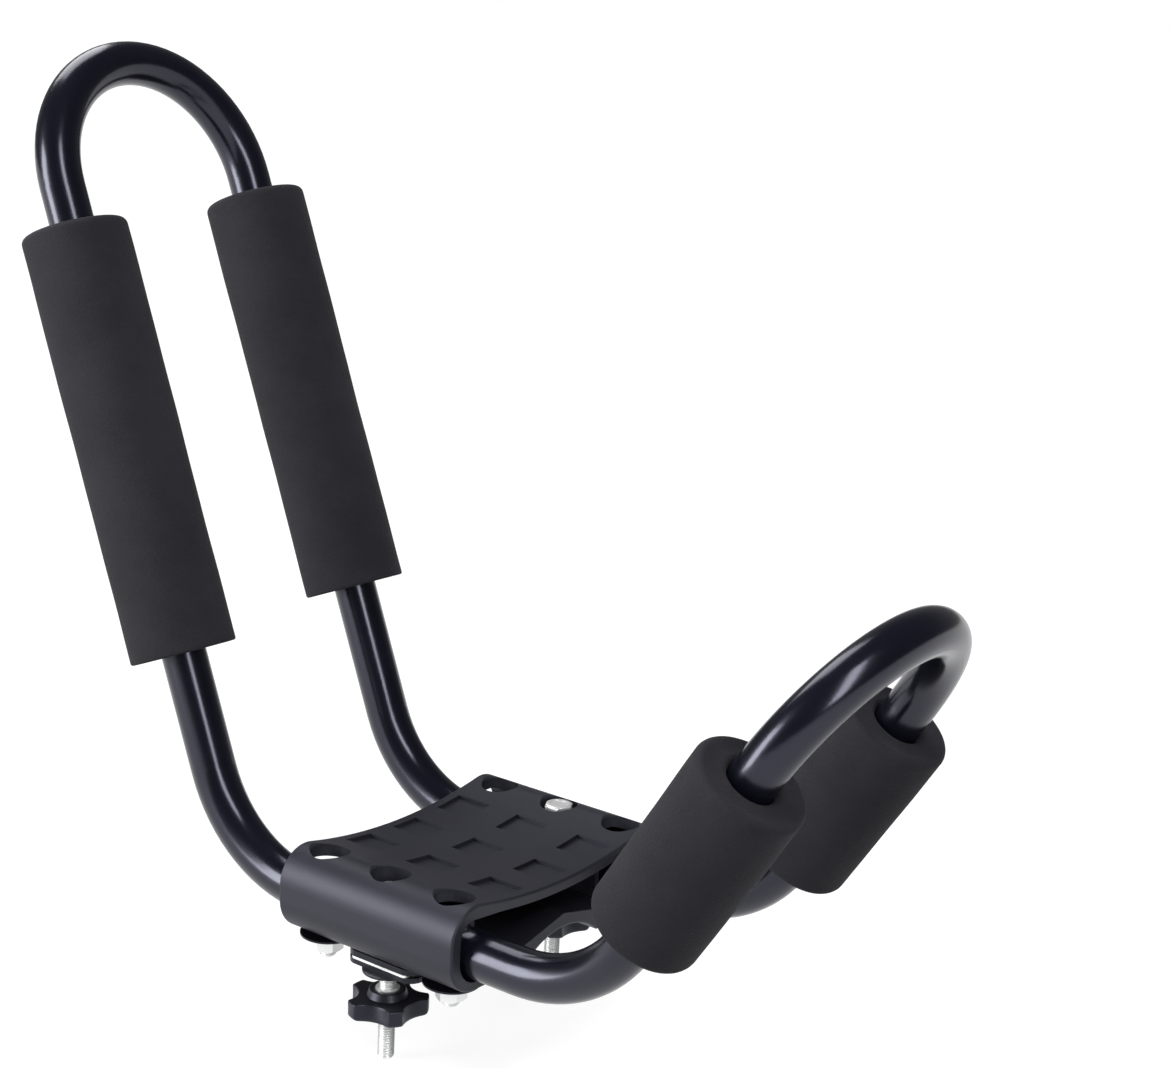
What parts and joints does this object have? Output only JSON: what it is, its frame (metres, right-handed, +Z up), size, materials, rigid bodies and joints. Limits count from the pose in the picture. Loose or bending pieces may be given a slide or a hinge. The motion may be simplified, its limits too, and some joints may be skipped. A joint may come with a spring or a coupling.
{
  "type": "j-bar kayak rack",
  "caption": "Roof rack carrier that holds a kayak on its side: padded J of bent tube in a hollow plastic saddle, clamped to a crossbar by a strap and star knobs.",
  "frame": {"origin": "centre of the flat underside of the upper clamp plate, where the crossbar seats", "axes": "+X along the crossbar towards the short arm, +Y across it towards the rear, +Z up away from the crossbar"},
  "size_m": [0.4978, 0.177, 0.4532],
  "materials": {
    "black_tube": "gloss black powder coat",
    "foam": "matte closed-cell foam with a fine skin",
    "saddle_plastic": "satin moulded black plastic",
    "black_steel": "satin black coated steel",
    "zinc_steel": "bright zinc plate",
    "knob_plastic": "fine grained black plastic"
  },
  "bodies": {
    "rack": {"long_hoop": "black_tube", "short_hoop": "black_tube", "saddle": "saddle_plastic", "long_pad_front": "foam", "long_pad_rear": "foam", "short_pad_front": "foam", "short_pad_rear": "foam", "corner_bolt_front_long": "zinc_steel", "corner_bolt_front_short": "zinc_steel", "corner_bolt_rear_long": "zinc_steel", "corner_bolt_rear_short": "zinc_steel", "corner_cup_front_long": "black_steel", "corner_cup_front_short": "black_steel", "corner_cup_rear_long": "black_steel", "corner_cup_rear_short": "black_steel", "corner_nut_front_long": "zinc_steel", "corner_nut_front_short": "zinc_steel", "corner_nut_rear_long": "zinc_steel", "corner_nut_rear_short": "zinc_steel", "upper_plate": "black_steel", "clamp_bolt_front": "zinc_steel", "clamp_bolt_rear": "zinc_steel"},
    "clamp": {"lower_bar": "black_steel", "liner_front": "zinc_steel", "liner_rear": "zinc_steel", "clamp_cup_front": "black_steel", "clamp_cup_rear": "black_steel"},
    "grip_front": {"knob_front": "knob_plastic", "knob_insert_front": "zinc_steel"},
    "grip_rear": {"knob_rear": "knob_plastic", "knob_insert_rear": "zinc_steel"}
  },
  "joints": [
    {"name": "clamp_slide", "type": "slide", "parent": "rack", "child": "clamp", "axis": [0, 0, -1], "range_m": [0, 0.017]},
    {"name": "knob_front_turn", "type": "hinge", "parent": "clamp", "child": "grip_front", "pos_m": [0, -0.0625, -0.0195], "axis": [0, 0, -1], "range_deg": [0, 4896]},
    {"name": "knob_rear_turn", "type": "hinge", "parent": "clamp", "child": "grip_rear", "pos_m": [0, 0.0625, -0.0163], "axis": [0, 0, -1], "range_deg": [0, 4896]}
  ],
  "couplings": [
    {"joint": "knob_front_turn", "follows": "clamp_slide", "rad_per_m": 5026.5},
    {"joint": "knob_rear_turn", "follows": "clamp_slide", "rad_per_m": 5026.5}
  ]
}
